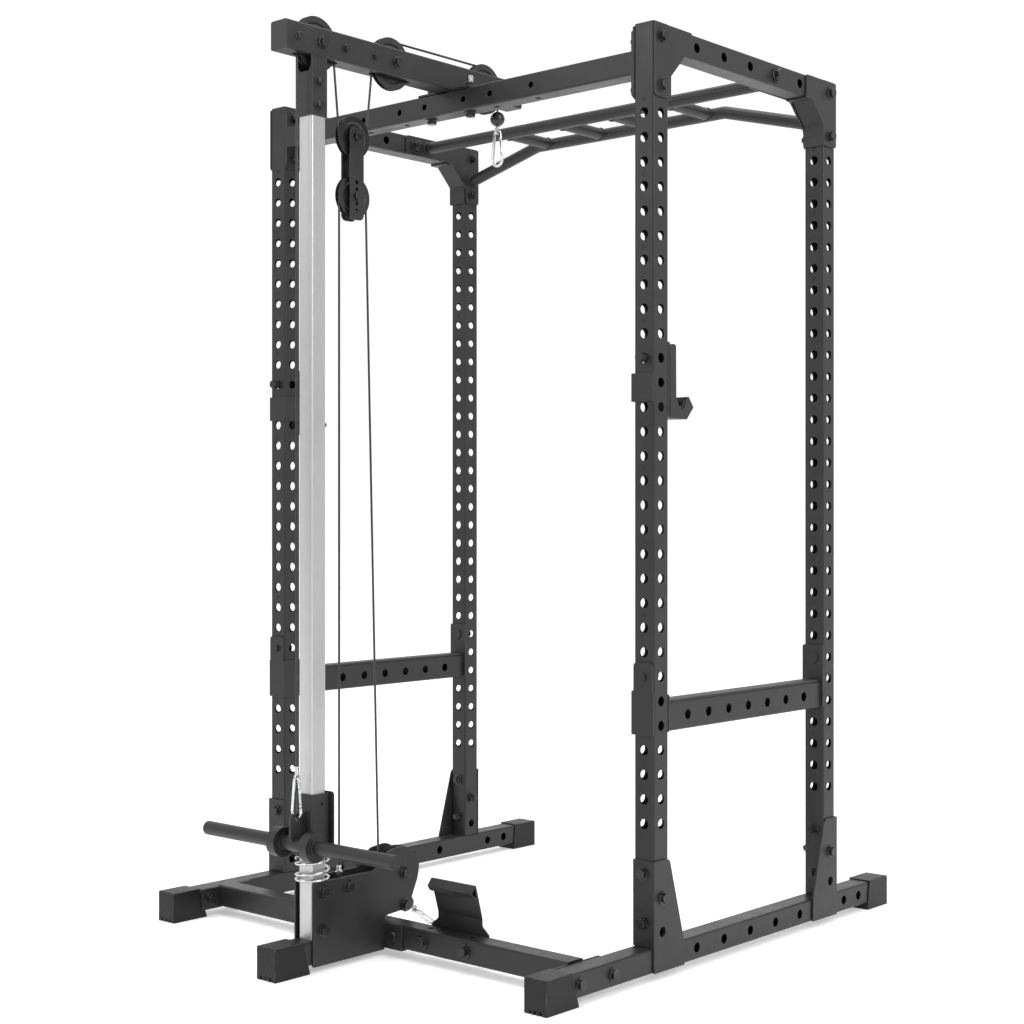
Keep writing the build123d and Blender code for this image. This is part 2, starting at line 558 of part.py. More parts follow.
put("low_cable_front_run", line_cable((e[0] + .0, e[1]), (BY - u[0] * 17.4, BZ - u[1] * 17.4)))
print("LOW EXIT", e)
# anchor: eye on the bolt, threaded stud and nut
b = ring("x", -668.6, 165, 11, 6.3, -6, 6) + cyl("z", 0, -668.6, 4.5, 175, 205) + hexp("z", 0, -668.6, 14, 186, 193)
put("low_cable_anchor", b)

# ---- J-hooks ----
GAP = 0.3


def jhook(sx):
    x = sx * UX
    xi = sx * (540 - GAP)
    b = box(xi - sx * 4, sx * 590, -350 - GAP - 4, -350 - GAP, 1177, 1235)
    side = prism("x", [(-354.3, 1177, 4), (-354.3, 1235, 4), (-273.5, 1235, 6), (-273.5, 1177, 6)], xi, xi - sx * 4)
    b = b + side
    x0, x1 = sx * 540, sx * 590
    hook = prism("x", [(-293.3, 1150, 5), (-293.3, 1297, 6), (-273.5, 1297, 6), (-272.5, 1187, 2), (-260, 1163, 9), (-246, 1166, 7), (-234, 1191, 2), (-229, 1191, 2), (-212, 1170, 3), (-236, 1144, 4), (-285, 1144, 6)], sx * 537, x1)
    b = b + hook
    b = b + cyl("y", x, JH_Z, 9.0, -369, -290)
    return b


for sx, nm in ((-1, "left"), (1, "right")):
    b = jhook(sx)
    x = sx * UX
    put("jhook_" + nm, b)
    ln = rect("y", min(sx * 541, sx * 589), max(sx * 541, sx * 589), 1147, 1302, -299.6, -293.4, 5) - cyl("y", x, JH_Z, 9.3, -310, -280)
    put("jhook_liner_" + nm, ln)
    # safeties
    tb = rtube("y", min(sx * 545, sx * 585), max(sx * 545, sx * 585), 501, 561, -295.7, 295.7, 2.5, 4.5)
    tb = cuts(tb, [cyl("x", y, 531, HOLE_R, sx * 540, sx * 590) for y in range(-225, 226, 75)])
    rear = rect("y", min(sx * 541, sx * 589), max(sx * 541, sx * 589), 560, 645, -354.3, -350.3, 8) + rect("y", min(sx * 535.7, sx * 591), max(sx * 535.7, sx * 591), 497, 586, -354.3, -350.3, 2)
    inner = rect("x", -354.3, -295.7, 497, 587, sx * 535.7, sx * 539.7, 6)
    endp = rect("y", min(sx * 535.7, sx * 590), max(sx * 535.7, sx * 590), 500, 578, -299.7, -295.7, 5)
    front = rect("y", min(sx * 537, sx * 591), max(sx * 537, sx * 591), 500, 645, 295.7, 299.7, 6)
    pins = cyl("y", x, SF_Z, 9.0, -354.3, -312) + cyl("y", x, SF_Z, 9.0, 295.7, 340) + cyl("y", x, SF_Z, 8.0, -360.3, -354.3) + cyl("y", x, SF_Z, 13.0, 291.7, 295.7)
    put("safety_" + nm, tb + rear + inner + endp + front + pins)
    put("safety_liner_" + nm, rect("x", -293, 293, 561, 565.5, sx * 547, sx * 583, 1.5))

put("frame_bolts", *BOLTS)
put("frame_nuts", *NUTS)

for f in os.listdir("parts"):
    if f.endswith(".step") and f[:-5] not in NODES:
        os.remove(os.path.join("parts", f))
lo = [1e9] * 3
hi = [-1e9] * 3
for name, sol in NODES.items():
    moved = [s.moved(Location((0, Y0, 0))) for s in sol]
    for s in moved:
        bb = s.bounding_box()
        lo = [min(a, c) for a, c in zip(lo, (bb.min.X, bb.min.Y, bb.min.Z))]
        hi = [max(a, c) for a, c in zip(hi, (bb.max.X, bb.max.Y, bb.max.Z))]
    shape = moved[0] if len(moved) == 1 else Compound(children=list(moved))
    export_step(shape, os.path.join("parts", name + ".step"))
print(len(NODES), "nodes", "box", lo, hi)
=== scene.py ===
import bpy
import bmesh
import json
import math
from mathutils import Vector, Matrix, noise


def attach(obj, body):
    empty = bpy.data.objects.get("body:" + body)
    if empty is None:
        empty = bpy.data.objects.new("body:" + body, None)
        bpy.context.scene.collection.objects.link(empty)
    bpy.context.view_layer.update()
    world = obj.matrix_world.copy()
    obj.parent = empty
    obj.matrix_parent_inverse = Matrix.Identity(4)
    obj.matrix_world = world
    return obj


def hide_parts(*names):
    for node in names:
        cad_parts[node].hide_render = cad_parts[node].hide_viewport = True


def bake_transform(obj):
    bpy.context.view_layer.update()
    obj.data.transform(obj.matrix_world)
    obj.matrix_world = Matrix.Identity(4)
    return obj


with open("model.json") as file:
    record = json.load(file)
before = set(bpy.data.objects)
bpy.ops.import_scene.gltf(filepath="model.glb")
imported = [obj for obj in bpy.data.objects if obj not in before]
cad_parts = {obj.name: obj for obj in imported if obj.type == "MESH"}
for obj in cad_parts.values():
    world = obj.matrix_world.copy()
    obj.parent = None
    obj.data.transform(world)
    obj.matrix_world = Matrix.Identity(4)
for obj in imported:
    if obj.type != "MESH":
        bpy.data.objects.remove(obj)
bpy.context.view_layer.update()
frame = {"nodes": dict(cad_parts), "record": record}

Y0 = 0.1405
N = frame["nodes"]


def V(x, y, z):
    """cage millimetres to the frame's metres"""
    return Vector((x / 1000.0, y / 1000.0 + Y0, z / 1000.0))


# ------------------------------------------------------------------ materials
def new_mat(name):
    m = bpy.data.materials.new(name)
    m.use_nodes = True
    nt = m.node_tree
    nt.nodes.clear()
    out = nt.nodes.new("ShaderNodeOutputMaterial")
    b = nt.nodes.new("ShaderNodeBsdfPrincipled")
    nt.links.new(b.outputs[0], out.inputs[0])
    return m, nt, b


def nd(nt, kind, **kw):
    n = nt.nodes.new(kind)
    for k, v in kw.items():
        setattr(n, k, v)
    return n


def coords(nt, scale=(1, 1, 1)):
    g = nd(nt, "ShaderNodeTexCoord")
    mp = nd(nt, "ShaderNodeMapping")
    mp.inputs["Scale"].default_value = scale
    nt.links.new(g.outputs["Object"], mp.inputs["Vector"])
    return mp.outputs["Vector"]


def noise_n(nt, vec, scale, detail=3.0, rough=0.55):
    n = nd(nt, "ShaderNodeTexNoise")
    n.inputs["Scale"].default_value = scale
    n.inputs["Detail"].default_value = detail
    n.inputs["Roughness"].default_value = rough
    nt.links.new(vec, n.inputs["Vector"])
    return n.outputs["Fac"]


def ramp(nt, fac, stops):
    r = nd(nt, "ShaderNodeValToRGB")
    e = r.color_ramp.elements
    e[0].position, e[0].color = stops[0][0], stops[0][1]
    e[1].position, e[1].color = stops[-1][0], stops[-1][1]
    for p, c in stops[1:-1]:
        q = e.new(p)
        q.color = c
    nt.links.new(fac, r.inputs["Fac"])
    return r.outputs["Color"]


def g(v, a=1.0):
    if isinstance(v, (tuple, list)):
        return (v[0], v[1], v[2], 1.0)
    return (v, v, v, 1.0)


def rng(nt, fac, lo, hi, a=0.0, b=1.0):
    m = nd(nt, "ShaderNodeMapRange")
    m.inputs["From Min"].default_value = a
    m.inputs["From Max"].default_value = b
    m.inputs["To Min"].default_value = lo
    m.inputs["To Max"].default_value = hi
    nt.links.new(fac, m.inputs["Value"])
    return m.outputs["Result"]


def edge_mask(nt, radius, lo=0.0015, hi=0.05):
    """mask for lighter edges, a painted edge highlight that is partly edge wear: where the rounded normal leaves the
    flat one
    """
    bv = nd(nt, "ShaderNodeBevel", samples=4)
    bv.inputs["Radius"].default_value = radius
    ge = nd(nt, "ShaderNodeNewGeometry")
    dt = nd(nt, "ShaderNodeVectorMath", operation="DOT_PRODUCT")
    nt.links.new(bv.outputs[0], dt.inputs[0])
    nt.links.new(ge.outputs["Normal"], dt.inputs[1])
    one = nd(nt, "ShaderNodeMath", operation="SUBTRACT")
    one.inputs[0].default_value = 1.0
    nt.links.new(dt.outputs["Value"], one.inputs[1])
    return bv, rng(nt, one.outputs[0], 0.0, 1.0, lo, hi)


def mixc(nt, fac, a, b):
    m = nd(nt, "ShaderNodeMix", data_type="RGBA")
    nt.links.new(fac, m.inputs[0])
    for i, c in ((6, a), (7, b)):
        if isinstance(c, bpy.types.NodeSocket):
            nt.links.new(c, m.inputs[i])
        else:
            m.inputs[i].default_value = c
    return m.outputs[2]


def coat(name, base, dark, light, rough, grain=900.0, bump=0.12, edge=None, metallic=0.0, spec=0.5, bevel=0.0011, coatw=0.0, stretch=(1, 1, 1), rspread=0.07, dist=0.0002):
    m, nt, b = new_mat(name)
    vec = coords(nt, stretch)
    big = noise_n(nt, vec, 9.0, 4.0, 0.6)
    fine = noise_n(nt, vec, grain, 2.0, 0.6)
    mid = noise_n(nt, vec, 60.0, 3.0, 0.6)
    col = ramp(nt, big, [(0.3, g(dark)), (0.5, g(base)), (0.72, g(light))])
    speck = ramp(nt, fine, [(0.35, g(tuple(c * 0.8 for c in dark))), (0.75, g(light))])
    f = nd(nt, "ShaderNodeMix", data_type="RGBA")
    f.inputs[0].default_value = 0.3
    nt.links.new(col, f.inputs[6])
    nt.links.new(speck, f.inputs[7])
    cur = f.outputs[2]
    bv, em = edge_mask(nt, bevel)
    # painted highlight: the edge colour is mixed into the base colour at rounded edges, broken up by noise like edge
    # wear
    if edge:
        edge_highlight_and_wear = nd(nt, "ShaderNodeMath", operation="MULTIPLY")
        nt.links.new(em, edge_highlight_and_wear.inputs[0])
        nt.links.new(rng(nt, mid, 0.0, 1.0, 0.42, 0.68), edge_highlight_and_wear.inputs[1])
        w2 = nd(nt, "ShaderNodeMath", operation="MULTIPLY")
        w2.inputs[1].default_value = 0.65
        nt.links.new(edge_highlight_and_wear.outputs[0], w2.inputs[0])
        cur = mixc(nt, w2.outputs[0], cur, g(edge))
    nt.links.new(cur, b.inputs["Base Color"])
    rmix = nd(nt, "ShaderNodeMath", operation="ADD")
    nt.links.new(rng(nt, big, rough - rspread, rough + rspread, 0.3, 0.7), rmix.inputs[0])
    nt.links.new(rng(nt, mid, -0.03, 0.03, 0.3, 0.7), rmix.inputs[1])
    nt.links.new(rmix.outputs[0], b.inputs["Roughness"])
    b.inputs["Metallic"].default_value = metallic
    b.inputs["Specular IOR Level"].default_value = spec
    b.inputs["Coat Weight"].default_value = coatw
    b.inputs["Coat Roughness"].default_value = 0.25
    bp = nd(nt, "ShaderNodeBump")
    bp.inputs["Strength"].default_value = bump
    bp.inputs["Distance"].default_value = dist
    nt.links.new(fine, bp.inputs["Height"])
    nt.links.new(bv.outputs[0], bp.inputs["Normal"])
    nt.links.new(bp.outputs[0], b.inputs["Normal"])
    return m


# the edge colours below are painted edge highlights on rims and corners, partly edge wear
FRAME = coat("powder_coat_black", (0.017, 0.017, 0.018), (0.013, 0.013, 0.0135), (0.022, 0.022, 0.023), 0.40, grain=1500, bump=0.35, edge=(0.13, 0.13, 0.134), spec=0.34)
PLATEM = coat("powder_coat_plate", (0.018, 0.018, 0.019), (0.014, 0.014, 0.0145), (0.024, 0.024, 0.025), 0.42, grain=1400, bump=0.4, edge=(0.12, 0.12, 0.124), spec=0.34, bevel=0.0014)
RUBBER = coat("moulded_rubber", (0.010, 0.010, 0.0105), (0.007, 0.007, 0.0075), (0.015, 0.015, 0.0155), 0.42, grain=700, bump=0.45, edge=(0.20, 0.20, 0.204), spec=0.22, bevel=0.0022)
PLASTIC = coat("moulded_plastic", (0.020, 0.020, 0.021), (0.016, 0.016, 0.017), (0.028, 0.028, 0.030), 0.5, grain=500, bump=0.3, edge=(0.045, 0.045, 0.047), spec=0.4, bevel=0.001)
NYLON = coat("pulley_nylon", (0.012, 0.012, 0.013), (0.009, 0.009, 0.0095), (0.019, 0.019, 0.020), 0.27, grain=350, bump=0.15, edge=(0.13, 0.13, 0.132), spec=0.5, bevel=0.0009)
BALLM = coat("ball_rubber", (0.010, 0.010, 0.0105), (0.007, 0.007, 0.0075), (0.016, 0.016, 0.017), 0.30, grain=420, bump=0.25, spec=0.5)
BOLTM = coat("black_oxide_bolt", (0.014, 0.014, 0.015), (0.008, 0.008, 0.0085), (0.026, 0.026, 0.028), 0.24, grain=600, bump=0.25, edge=(0.30, 0.30, 0.30), metallic=0.25, bevel=0.0009)
CHROME = coat("chrome_bright", (0.62, 0.63, 0.64), (0.52, 0.53, 0.54), (0.72, 0.73, 0.74), 0.13, grain=250, bump=0.06, metallic=1.0, bevel=0.0007, rspread=0.05)
ZINC = coat("zinc_plate", (0.55, 0.55, 0.56), (0.42, 0.42, 0.43), (0.66, 0.66, 0.67), 0.33, grain=400, bump=0.15, metallic=1.0, bevel=0.0008)
SILVER = coat("silver_mast", (0.50, 0.50, 0.505), (0.45, 0.45, 0.455), (0.56, 0.56, 0.565), 0.36, grain=1100, bump=0.22, metallic=0.75, stretch=(1, 1, 0.03), edge=(0.8, 0.8, 0.8), bevel=0.0012)
CABLE = coat("cable_sheath", (0.016, 0.016, 0.017), (0.012, 0.012, 0.013), (0.026, 0.026, 0.028), 0.3, grain=500, bump=0.2, spec=0.5, bevel=0.0003)
PRINT = coat("engraved_dark", (0.004, 0.004, 0.004), (0.003, 0.003, 0.003), (0.007, 0.007, 0.007), 0.7, grain=900, bump=0.1, bevel=0.0002)

SLOT_MAT = {"frame_black": FRAME, "rubber_black": RUBBER, "plastic_black": PLASTIC, "pulley_nylon": NYLON, "ball_black": BALLM,
            "tube_silver": SILVER, "chrome_bright": CHROME, "bolt_black": BOLTM, "zinc_plate": ZINC, "cable_black": CABLE}
slots = {s["node"]: s["material_slot"] for s in frame["record"]["subparts"]}
PLATES = {"corner_brackets", "foot_brackets", "tower_plates", "tower_bracket", "foot_plates", "jhook_left", "jhook_right", "block_plates", "carriage_sleeve"}
for name, ob in N.items():
    mat = PLATEM if name in PLATES else SLOT_MAT[slots[name]]
    ob.data.materials.clear() if len(ob.data.materials) == 0 else None
    for i in range(max(1, len(ob.material_slots))):
        if len(ob.material_slots) <= i:
            ob.data.materials.append(mat)
        else:
            ob.material_slots[i].material = mat


# ------------------------------------------------------------------ mesh helpers
def add_obj(name, verts, faces, mat, body=None, smooth=True):
    me = bpy.data.meshes.new(name)
    me.from_pydata([tuple(v) for v in verts], [], faces)
    me.validate()
    ob = bpy.data.objects.new(name, me)
    bpy.context.scene.collection.objects.link(ob)
    me.materials.append(mat)
    if smooth:
        for p in me.polygons:
            p.use_smooth = True
    if body:
        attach(ob, body)
    return ob


def tube_mesh(pts, r, seg=14, rfun=None, closed=False, up=Vector((1, 0, 0))):
    """sweeps a ring along pts; parallel-transported frame"""
    n = len(pts)
    verts, faces = [], []
    side = up.copy()
    for i, p in enumerate(pts):
        a = pts[i - 1] if (i > 0 or closed) else pts[i]
        b = pts[(i + 1) % n] if (i < n - 1 or closed) else pts[i]
        t = (b - a).normalized()
        side = (side - t * side.dot(t)).normalized()
        o = t.cross(side)
        for k in range(seg):
            an = 2 * math.pi * k / seg
            rr = r if rfun is None else rfun(i, an)
            verts.append(p + side * (math.cos(an) * rr) + o * (math.sin(an) * rr))
    last = n if closed else n - 1
    for i in range(last):
        j = (i + 1) % n
        for k in range(seg):
            k2 = (k + 1) % seg
            faces.append((i * seg + k, i * seg + k2, j * seg + k2, j * seg + k))
    if not closed:
        faces.append(tuple(reversed(range(seg))))
        faces.append(tuple((n - 1) * seg + k for k in range(seg)))
    return verts, faces


def join(parts):
    V_, F_ = [], []
    for v, f in parts:
        o = len(V_)
        V_ += v
        F_ += [tuple(i + o for i in q) for q in f]
    return V_, F_


# ------------------------------------------------------------------ cables
PC, BC = 50.0, 38.6
CR, CM, CF = (-737.0, 1927.0), (-520.0, 1927.0), (-218.0, 1927.0)
CB1, CB2, CL = (-630.0, 1749.0), (-630.0, 1622.5), (-502.5, 167.0)


def tang(c1, r1, s1, c2, r2, s2):
    dy, dz = c2[0] - c1[0], c2[1] - c1[1]
    th = math.atan2(dz, dy) + math.asin((s2 * r2 - s1 * r1) / math.hypot(dy, dz))
    n = (-math.sin(th), math.cos(th))
    return ((c1[0] + s1 * r1 * n[0], c1[1] + s1 * r1 * n[1]), (c2[0] + s2 * r2 * n[0], c2[1] + s2 * r2 * n[1]))


def phi(c, p):
    return math.atan2(p[1] - c[1], p[0] - c[0])


def seg_pts(a, b, step):
    n = max(2, int(math.hypot(b[0] - a[0], b[1] - a[1]) / step) + 1)
    return [V(0, a[0] + (b[0] - a[0]) * i / (n - 1), a[1] + (b[1] - a[1]) * i / (n - 1)) for i in range(n)]


def arc_pts(c, r, f0, f1, n=28):
    return [V(0, c[0] + r * math.cos(f0 + (f1 - f0) * i / n), c[1] + r * math.sin(f0 + (f1 - f0) * i / n)) for i in range(n + 1)]


RC_ = 0.0025
a1, b1 = tang(CR, PC, 1, CB1, BC, -1)
a2, b2 = tang(CB1, BC, -1, CM, PC, 1)
a3, b3 = tang(CB2, BC, 1, CL, PC, -1)
BALL = (-468.0, 93.0)
ex, _ = tang(CL, PC, -1, BALL, 0.0, 1)
tp = 2 * math.pi


def cable(name, pts, body=None, blend=None, node=None):
    v, f = tube_mesh(pts, RC_, 12)
    ob = add_obj(name, v, f, CABLE, body)
    if blend:
        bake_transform(ob)
    if node:
        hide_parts(node)
    return ob


zc = 361.4 + 43.5 - 3.25 + 0.85 + 24.5
cable("cable_carriage_visible", seg_pts((-787, zc - 3), (-787, 1927), 12), blend=("root", "carriage", V(0, -787, 1927), V(0, -787, zc)), node="lat_cable_carriage_run")
cable("cable_front_visible", seg_pts((-168, 1927), (-168, 1880), 3), blend=("root", "lat_end", V(0, -168, 1927), V(0, -168, 1885)), node="lat_cable_front_run")
cable("cable_block_visible_a", seg_pts(a1, b1, 6), blend=("root", "block", V(0, *a1), V(0, *b1)), node="lat_cable_block_runs")
cable("cable_block_visible_b", seg_pts(b2, a2, 6), blend=("root", "block", V(0, *b2), V(0, *a2)))
cable("cable_low_visible_a", seg_pts((-668.6, 200), (-668.6, 1622.5), 14), blend=("root", "block", V(0, -668.6, 205), V(0, -668.6, 1622.5)), node="low_cable_block_runs")
cable("cable_low_visible_b", seg_pts(b3, a3, 14), blend=("root", "block", V(0, *b3), V(0, *a3)))
cable("cable_low_front_visible", seg_pts(ex, (BALL[0] - 8, BALL[1] + 4), 3), blend=("root", "low_end", V(0, *ex), V(0, BALL[0] - 14, BALL[1] + 8)), node="low_cable_front_run")
parts = [tube_mesh(arc_pts(CR, PC, math.pi, phi(CR, a1)), RC_, 12),
         tube_mesh(arc_pts(CM, PC, phi(CM, b2) % tp, math.pi / 2, 18) + seg_pts((CM[0], CM[1] + PC), (CF[0], CF[1] + PC), 25)[1:-1] + arc_pts(CF, PC, math.pi / 2, 0.0, 18), RC_, 12),
         tube_mesh(arc_pts(CL, PC, phi(CL, b3) % tp, phi(CL, ex) % tp, 18), RC_, 12)]
v, f = join(parts)
ob = add_obj("cable_wraps_visible", v, f, CABLE, "root")
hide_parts("cable_fixed_wraps")
e2 = phi(CB1, a2) % tp
if e2 < math.pi:
    e2 += tp
v, f = join([tube_mesh(arc_pts(CB1, BC, phi(CB1, b1) % tp, e2), RC_, 12), tube_mesh(arc_pts(CB2, BC, math.pi, phi(CB2, a3)), RC_, 12)])
ob = add_obj("block_wraps_visible", v, f, CABLE, "block")
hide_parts("block_cable_wraps")

# ------------------------------------------------------------------ buffer spring with closed ends
knots = [(0.0, 188.9), (0.3, 189.6), (0.75, 192.6), (1.3, 203.0), (1.8, 214.5), (2.3, 226.0), (2.75, 231.4), (3.1, 232.9)]


def zs(t):
    for (t0, z0), (t1, z1) in zip(knots, knots[1:]):
        if t <= t1:
            u = (t - t0) / (t1 - t0)
            return z0 + (z1 - z0) * u
    return knots[-1][1]


pts = []
for i in range(301):
    t = 3.1 * i / 300
    zz = sum(zs(min(3.1, max(0, t + d))) for d in (-0.12, -0.06, 0, 0.06, 0.12)) / 5
    an = tp * t + math.radians(200)
    pts.append(V(34 * math.cos(an), -744 + 34 * math.sin(an), max(188.6, zz)))
v, f = tube_mesh(pts, 0.0026, 16, up=Vector((0, 0, 1)))
ob = add_obj("buffer_spring_visible", v, f, CHROME, "root")
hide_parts("buffer_spring")

# ------------------------------------------------------------------ carabiners: pear-shaped wire, riveted gate


def carabiner(tag, M, w, L, r, gap, body, gate_body):
    hb = (w / 2 - r)
    ht = hb * 0.58
    sb, st = L / 2 - r - hb, L / 2 - r - ht
    al = math.asin((hb - ht) / (sb + st))
    B = (hb * math.cos(al), -sb + hb * math.sin(al))
    T = (ht * math.cos(al), st + ht * math.sin(al))

    def on(z):
        f = (z - B[1]) / (T[1] - B[1])
        return (B[0] + (T[0] - B[0]) * f, z)

    z0, z1 = -gap, gap
    p = []
    a, b = on(z0), B
    p += [(a[0] + (b[0] - a[0]) * i / 6, a[1] + (b[1] - a[1]) * i / 6) for i in range(6)]
    n = 30
    f0, f1 = al, -math.pi - al
    p += [(hb * math.cos(f0 + (f1 - f0) * i / n), -sb + hb * math.sin(f0 + (f1 - f0) * i / n)) for i in range(n + 1)]
    a, b = (-B[0], B[1]), (-T[0], T[1])
    p += [(a[0] + (b[0] - a[0]) * i / 14, a[1] + (b[1] - a[1]) * i / 14) for i in range(1, 14)]
    f0, f1 = math.pi - al, al
    p += [(ht * math.cos(f0 + (f1 - f0) * i / n), st + ht * math.sin(f0 + (f1 - f0) * i / n)) for i in range(n + 1)]
    a, b = T, on(z1)
    p += [(a[0] + (b[0] - a[0]) * i / 6, a[1] + (b[1] - a[1]) * i / 6) for i in range(1, 7)]
    pts = [Vector((q[0] / 1000, 0, q[1] / 1000)) for q in p]
    m = len(pts)
    v, f = tube_mesh(pts, r / 1000, 16, rfun=lambda i, an: r / 1000 * (0.82 if i in (0, m - 1) else 1.0), up=Vector((0, 1, 0)))
    ob = add_obj(tag + "_visible", [M @ q for q in v], f, CHROME, body)
    g0, g1 = on(z0 + 1.0), on(z1 - 0.5)
    k = 16
    gp = [Vector(((g0[0] + (g1[0] - g0[0]) * i / k) / 1000, 0, (g0[1] + (g1[1] - g0[1]) * i / k) / 1000)) for i in range(k + 1)]
    gr = (r - 0.5) / 1000
    v, f = tube_mesh(gp, gr, 16, rfun=lambda i, an: gr * (0.7 if i in (0, k) else (1.12 if i in (1, 2, k - 1, k - 2) else 0.96)), up=Vector((0, 1, 0)))
    piv = on(z0 + 3)
    rv = [Vector((piv[0] / 1000, y / 1000, piv[1] / 1000)) for y in (-r - 0.3, -r, -r + 0.5, r - 0.5, r, r + 0.3)]
    v2, f2 = tube_mesh(rv, 0.0013, 12, rfun=lambda i, an: 0.0013 if i in (1, 2, 3, 4) else 0.0008)
    v, f = join([(v, f), (v2, f2)])
    gt = add_obj(tag + "_gate_visible", [M @ q for q in v], f, CHROME, gate_body)
    return ob, gt


def eye_mesh(M, zw, wr):
    """swaged eye over the wire, with its pressed sleeve"""
    zc_ = (zw + 0.85) / 1000
    tor = [Vector((0, 0.0065 * math.cos(tp * i / 40), zc_ + 0.0065 * math.sin(tp * i / 40))) for i in range(40)]
    a = tube_mesh(tor, 0.0022, 12, closed=True)
    zs_ = [6.0, 6.6, 9.0, 9.4, 12.5, 12.9, 16.5, 16.9, 20.5, 20.9, 23.6, 24.5]
    rs_ = [3.4, 4.4, 4.5, 4.0, 4.0, 4.5, 4.5, 4.0, 4.0, 4.5, 4.4, 3.4]
    b = tube_mesh([Vector((0, 0, zc_ + q / 1000)) for q in zs_], 0.0045, 20, rfun=lambda i, an: rs_[i] / 1000)
    v, f = join([a, b])
    return [M @ q for q in v], f


def mv(x, y, z):
    return Matrix.Translation(V(x, y, z))


M1 = mv(0, -787, 361.4)
ob, gt = carabiner("carriage_carabiner", M1, 33, 87, 3.25, 20, "carriage", "carriage_gate_arm")
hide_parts("carriage_carabiner")
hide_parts("carriage_gate")
v, f = eye_mesh(M1, 43.5 - 3.25, 3.25)
add_obj("carriage_eye_visible", v, f, ZINC, "carriage")
M2 = mv(0, -168, 1799)
ob, gt = carabiner("lat_carabiner", M2, 36, 88, 3.5, 20, "lat_end", "lat_gate_arm")
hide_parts("lat_carabiner")
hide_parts("lat_gate")
v, f = eye_mesh(M2, 44 - 3.5 - 0.4, 3.5)
add_obj("lat_eye_visible", [q for q in v], f, ZINC, "lat_end")
M3 = mv(0, -468, 93) @ Matrix.Rotation(math.radians(54), 4, "X")
M3c = M3 @ Matrix.Translation(Vector((0, 0, -0.0695)))
ob, gt = carabiner("low_carabiner", M3c, 36, 81, 3.5, 18, "low_end", "low_gate_arm")
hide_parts("low_carabiner")
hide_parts("low_gate")
v, f = eye_mesh(M3c, 40.5 - 3.5 - 0.4, 3.5)
add_obj("low_eye_visible", v, f, ZINC, "low_end")


# ------------------------------------------------------------------ bolts and small parts with real chamfers
def chamfered(node, width, mat, body, angle=35):
    src = N[node]
    me = src.data.copy()
    me.name = node + "_chamfered"
    bm = bmesh.new()
    bm.from_mesh(me)
    bmesh.ops.remove_doubles(bm, verts=bm.verts, dist=0.00002)
    bmesh.ops.dissolve_limit(bm, angle_limit=math.radians(4), verts=bm.verts, edges=bm.edges)
    bm.to_mesh(me)
    bm.free()
    ob = bpy.data.objects.new(node + "_chamfered", me)
    bpy.context.scene.collection.objects.link(ob)
    md = ob.modifiers.new("chamfer", "BEVEL")
    md.width = width
    md.segments = 2
    md.limit_method = "ANGLE"
    md.angle_limit = math.radians(angle)
    md.use_clamp_overlap = True
    md.harden_normals = False
    dg = bpy.context.evaluated_depsgraph_get()
    me2 = bpy.data.meshes.new_from_object(ob.evaluated_get(dg))
    ob.modifiers.clear()
    ob.data = me2
    me2.materials.clear()
    me2.materials.append(mat)
    for p in me2.polygons:
        p.use_smooth = True
    try:
        me2.set_sharp_from_angle(angle=math.radians(18))
    except Exception:
        pass
    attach(ob, body)
    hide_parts(node)
    return ob


chamfered("frame_bolts", 0.0008, BOLTM, "root")
chamfered("frame_nuts", 0.0008, BOLTM, "root")
chamfered("pulley_axles", 0.0009, BOLTM, "root")
chamfered("block_bolts", 0.0008, BOLTM, "block")
chamfered("foot_caps", 0.0012, RUBBER, "root")


def thread(x, y, z0, z1, r, pitch, mat, name, body):
    n = int((z1 - z0) / pitch * 24)
    hp = [V(x + r * math.cos(tp * i / 24), y + r * math.sin(tp * i / 24), z0 + (z1 - z0) * i / n) for i in range(n + 1)]
    a = tube_mesh(hp, 0.00062, 6, up=Vector((0, 0, 1)))
    zz = [z0 - 0.3, z1, z1 + 0.7]
    b = tube_mesh([V(x, y, q) for q in zz], r / 1000, 24, rfun=lambda i, an: (r + (0.05 if i < 2 else -0.9)) / 1000)
    v, f = join([a, b])
    return add_obj(name, v, f, mat, body)


for sx in (-1, 1):
    thread(sx * 60, -325, 1913.2, 1927.6, 6.1, 1.75, CHROME, "plate_bolt_thread_%s" % ("left" if sx < 0 else "right"), "root")
thread(0, -668.6, 193.2, 203.8, 4.55, 1.25, CHROME, "anchor_thread", "root")

# dark pads in the hook seats and on the upright face
for sx, side in ((-1, "left"), (1, "right")):
    prof = [(-272.0, 1187.5), (-266.3, 1175.0), (-262.5, 1168.4), (-258.6, 1165.4), (-253.5, 1165.4), (-249.0, 1167.6), (-246.4, 1170.5), (-240.2, 1183.5)]
    off = [(-270.3, 1186.9), (-264.6, 1175.2), (-261.4, 1169.8), (-258.2, 1167.3), (-253.9, 1167.3), (-250.3, 1169.0), (-248.0, 1171.6), (-242.0, 1184.2)]
    vs, fs = [], []
    x0, x1 = sx * 538.6, sx * 588.4
    m_ = len(prof)
    for xx in (x0, x1):
        for q in prof:
            vs.append(V(xx, q[0], q[1]))
        for q in off:
            vs.append(V(xx, q[0], q[1]))
    h2 = 2 * m_
    for i in range(m_ - 1):
        fs += [(i, i + 1, h2 + i + 1, h2 + i), (m_ + i + 1, m_ + i, h2 + m_ + i, h2 + m_ + i + 1)]
        fs += [(i, m_ + i, m_ + i + 1, i + 1), (h2 + i + 1, h2 + m_ + i + 1, h2 + m_ + i, h2 + i)]
    fs += [(0, h2, h2 + m_, m_), (m_ - 1, h2 - 1, h2 + h2 - 1, h2 + m_ - 1)]
    add_obj("hook_pad_" + side, vs, fs, RUBBER, "hook_" + side, smooth=False)

# ------------------------------------------------------------------ weld beads


